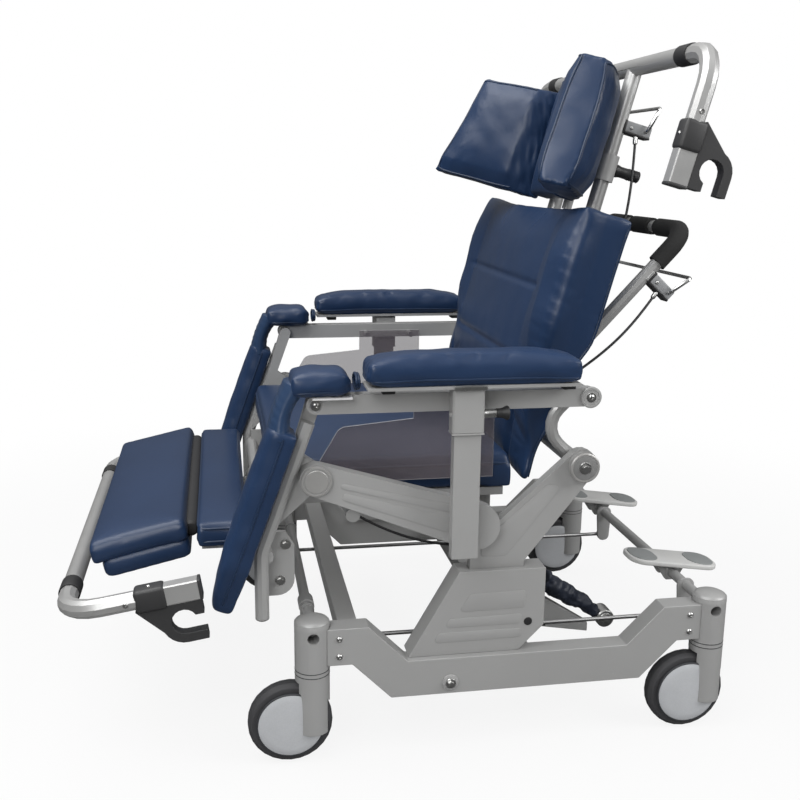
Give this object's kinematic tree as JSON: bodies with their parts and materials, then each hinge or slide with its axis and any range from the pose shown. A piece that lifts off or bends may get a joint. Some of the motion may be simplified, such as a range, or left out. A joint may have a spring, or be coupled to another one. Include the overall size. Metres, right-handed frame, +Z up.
{
  "type": "reclining patient transfer chair",
  "caption": "Wide caregiver-moved transfer chair with a lifting seat, reclining back, level arms and leg rest, wing headrest, hooked transfer arms and braked casters.",
  "frame": {"origin": "on the floor, under the middle of the chair's box", "axes": "+X to the sitter's left, +Y towards the back of the chair, +Z up"},
  "size_m": [0.934, 1.2652, 1.2411],
  "materials": {
    "frame": "satin silver-grey paint",
    "caster": "satin grey",
    "tyre": "dark grey tread",
    "fabric": "navy coated fabric",
    "black": "black, matt",
    "boot": "ribbed, dark",
    "chrome": "bright wire",
    "screen": "smoked, clear"
  },
  "bodies": {
    "base": {"base_frame": "frame", "caster_post_front_left": "caster", "caster_post_front_right": "caster", "caster_post_rear_left": "caster", "caster_post_rear_right": "caster", "lift_pump": "boot", "lift_tower_left": "frame", "lift_tower_right": "frame"},
    "arm_left": {"arm_bar_left": "frame", "arm_front_pad_left": "fabric", "side_screen_left": "screen"},
    "arm_right": {"arm_bar_right": "frame", "arm_front_pad_right": "fabric", "side_screen_right": "screen"},
    "armrest_left": {"arm_pad_left": "fabric", "arm_post_left": "frame"},
    "armrest_right": {"arm_pad_right": "fabric", "arm_post_right": "frame"},
    "plunger_left": {"arm_plunger_left": "black"},
    "plunger_right": {"arm_plunger_right": "black"},
    "back": {"back_cushion": "fabric", "back_frame": "frame", "push_bar": "frame", "release_cable_lower": "black", "release_cable_upper": "black"},
    "brake_rod_left": {"brake_rod_left": "chrome"},
    "brake_rod_right": {"brake_rod_right": "chrome"},
    "brake_front": {"brake_shaft_front": "frame"},
    "brake_rear": {"brake_shaft_rear": "frame"},
    "leg_rest": {"calf_cushion": "fabric", "foot_cushion": "fabric", "leg_rest_frame": "frame"},
    "fork_front_left": {"caster_fork_front_left": "caster"},
    "fork_front_right": {"caster_fork_front_right": "caster"},
    "fork_rear_left": {"caster_fork_rear_left": "caster"},
    "fork_rear_right": {"caster_fork_rear_right": "caster"},
    "wheel_front_left": {"caster_wheel_front_left": "tyre"},
    "wheel_front_right": {"caster_wheel_front_right": "tyre"},
    "wheel_rear_left": {"caster_wheel_rear_left": "tyre"},
    "wheel_rear_right": {"caster_wheel_rear_right": "tyre"},
    "foot_arm_left": {"foot_arm_left": "frame", "foot_hook_left": "black"},
    "foot_arm_right": {"foot_arm_right": "frame", "foot_hook_right": "black"},
    "head_arm_left": {"head_arm_left": "frame", "head_hook_left": "black"},
    "head_arm_right": {"head_arm_right": "frame", "head_hook_right": "black"},
    "headrest": {"headrest_bracket": "frame", "headrest_middle": "fabric"},
    "wing_left": {"headrest_wing_left": "fabric"},
    "wing_right": {"headrest_wing_right": "fabric"},
    "leg": {"leg_bolster_left": "fabric", "leg_bolster_right": "fabric", "leg_frame": "frame"},
    "release_lower": {"release_bail_lower": "chrome"},
    "release_upper": {"release_bail_upper": "chrome"},
    "seat": {"seat_cable": "black", "seat_cushion": "fabric", "seat_frame": "frame"}
  },
  "joints": [
    {"name": "swivel_front_left", "type": "hinge", "parent": "base", "child": "fork_front_left", "pos_m": [0.382, -0.21064, 0.165], "axis": [0, 0, 1], "continuous": true},
    {"name": "roll_front_left", "type": "hinge", "parent": "fork_front_left", "child": "wheel_front_left", "pos_m": [0.382, -0.25064, 0.075], "axis": [1, 0, 0], "continuous": true},
    {"name": "swivel_front_right", "type": "hinge", "parent": "base", "child": "fork_front_right", "pos_m": [-0.382, -0.21064, 0.165], "axis": [0, 0, 1], "continuous": true},
    {"name": "roll_front_right", "type": "hinge", "parent": "fork_front_right", "child": "wheel_front_right", "pos_m": [-0.382, -0.25064, 0.075], "axis": [1, 0, 0], "continuous": true},
    {"name": "swivel_rear_left", "type": "hinge", "parent": "base", "child": "fork_rear_left", "pos_m": [0.382, 0.53536, 0.165], "axis": [0, 0, 1], "continuous": true},
    {"name": "roll_rear_left", "type": "hinge", "parent": "fork_rear_left", "child": "wheel_rear_left", "pos_m": [0.382, 0.49536, 0.075], "axis": [1, 0, 0], "continuous": true},
    {"name": "swivel_rear_right", "type": "hinge", "parent": "base", "child": "fork_rear_right", "pos_m": [-0.382, 0.53536, 0.165], "axis": [0, 0, 1], "continuous": true},
    {"name": "roll_rear_right", "type": "hinge", "parent": "fork_rear_right", "child": "wheel_rear_right", "pos_m": [-0.382, 0.49536, 0.075], "axis": [1, 0, 0], "continuous": true},
    {"name": "brake_pedals", "type": "hinge", "parent": "base", "child": "brake_rear", "pos_m": [0, 0.53536, 0.24], "axis": [1, 0, 0], "range_deg": [-15, 15]},
    {"name": "brake_front_turn", "type": "hinge", "parent": "base", "child": "brake_front", "pos_m": [0, -0.21064, 0.24], "axis": [1, 0, 0], "range_deg": [-15, 15]},
    {"name": "brake_rod_turn_left", "type": "hinge", "parent": "brake_rear", "child": "brake_rod_left", "pos_m": [0.2923, 0.53536, 0.184], "axis": [1, 0, 0], "range_deg": [-15, 15]},
    {"name": "brake_rod_turn_right", "type": "hinge", "parent": "brake_rear", "child": "brake_rod_right", "pos_m": [-0.1573, 0.53536, 0.184], "axis": [1, 0, 0], "range_deg": [-15, 15]},
    {"name": "seat_lift", "type": "slide", "parent": "base", "child": "seat", "axis": [0, 0, 1], "range_m": [0, 0.1]},
    {"name": "recline", "type": "hinge", "parent": "seat", "child": "back", "pos_m": [0, 0.27236, 0.522], "axis": [-1, 0, 0], "range_deg": [0, 70]},
    {"name": "leg_swing", "type": "hinge", "parent": "seat", "child": "leg", "pos_m": [0, -0.20264, 0.522], "axis": [-1, 0, 0], "range_deg": [0, 70]},
    {"name": "leg_rest_level", "type": "hinge", "parent": "leg", "child": "leg_rest", "pos_m": [0, -0.28764, 0.385], "axis": [-1, 0, 0], "range_deg": [-70, 0]},
    {"name": "arm_level_left", "type": "hinge", "parent": "leg", "child": "arm_left", "pos_m": [0.39, -0.20264, 0.652], "axis": [-1, 0, 0], "range_deg": [-70, 0]},
    {"name": "armrest_height_left", "type": "slide", "parent": "arm_left", "child": "armrest_left", "axis": [0, 0, 1], "range_m": [0, 0.12]},
    {"name": "plunger_pull_left", "type": "slide", "parent": "arm_left", "child": "plunger_left", "axis": [0, 1, 0], "range_m": [0, 0.008], "stiffness_N_per_m": 400},
    {"name": "foot_arm_turn_left", "type": "hinge", "parent": "leg_rest", "child": "foot_arm_left", "pos_m": [0.3375, -0.61664, 0.328], "axis": [1, 0, 0], "range_deg": [0, 90]},
    {"name": "head_arm_turn_left", "type": "hinge", "parent": "back", "child": "head_arm_left", "pos_m": [0.3375, 0.43798, 1.22509], "axis": [1, 0, 0], "range_deg": [0, 90]},
    {"name": "arm_level_right", "type": "hinge", "parent": "leg", "child": "arm_right", "pos_m": [-0.39, -0.20264, 0.652], "axis": [-1, 0, 0], "range_deg": [-70, 0]},
    {"name": "armrest_height_right", "type": "slide", "parent": "arm_right", "child": "armrest_right", "axis": [0, 0, 1], "range_m": [0, 0.12]},
    {"name": "plunger_pull_right", "type": "slide", "parent": "arm_right", "child": "plunger_right", "axis": [0, 1, 0], "range_m": [0, 0.008], "stiffness_N_per_m": 400},
    {"name": "foot_arm_turn_right", "type": "hinge", "parent": "leg_rest", "child": "foot_arm_right", "pos_m": [-0.3375, -0.61664, 0.328], "axis": [1, 0, 0], "range_deg": [0, 90]},
    {"name": "head_arm_turn_right", "type": "hinge", "parent": "back", "child": "head_arm_right", "pos_m": [-0.3375, 0.43798, 1.22509], "axis": [1, 0, 0], "range_deg": [0, 90]},
    {"name": "headrest_height", "type": "slide", "parent": "back", "child": "headrest", "axis": [0, 0.2588, 0.9659], "range_m": [-0.01, 0.04]},
    {"name": "wing_turn_left", "type": "hinge", "parent": "headrest", "child": "wing_left", "pos_m": [0.094, 0.35888, 1.0941], "axis": [0, -0.2588, -0.9659], "range_deg": [-9, 33]},
    {"name": "wing_turn_right", "type": "hinge", "parent": "headrest", "child": "wing_right", "pos_m": [-0.094, 0.35888, 1.0941], "axis": [0, 0.2588, 0.9659], "range_deg": [-36, 6]},
    {"name": "release_upper_pull", "type": "hinge", "parent": "back", "child": "release_upper", "pos_m": [0, 0.45877, 1.10564], "axis": [1, 0, 0], "range_deg": [0, 15], "stiffness_Nm_per_rad": 1.5},
    {"name": "release_lower_pull", "type": "hinge", "parent": "back", "child": "release_lower", "pos_m": [0, 0.48617, 0.80774], "axis": [1, 0, 0], "range_deg": [0, 15], "stiffness_Nm_per_rad": 1.5}
  ],
  "couplings": [
    {"joint": "brake_front_turn", "follows": "brake_pedals", "ratio": 1},
    {"joint": "brake_rod_turn_left", "follows": "brake_pedals", "ratio": -1},
    {"joint": "brake_rod_turn_right", "follows": "brake_pedals", "ratio": -1},
    {"joint": "leg_swing", "follows": "recline", "ratio": 1},
    {"joint": "leg_rest_level", "follows": "recline", "ratio": -1},
    {"joint": "arm_level_left", "follows": "recline", "ratio": -1},
    {"joint": "arm_level_right", "follows": "recline", "ratio": -1}
  ]
}
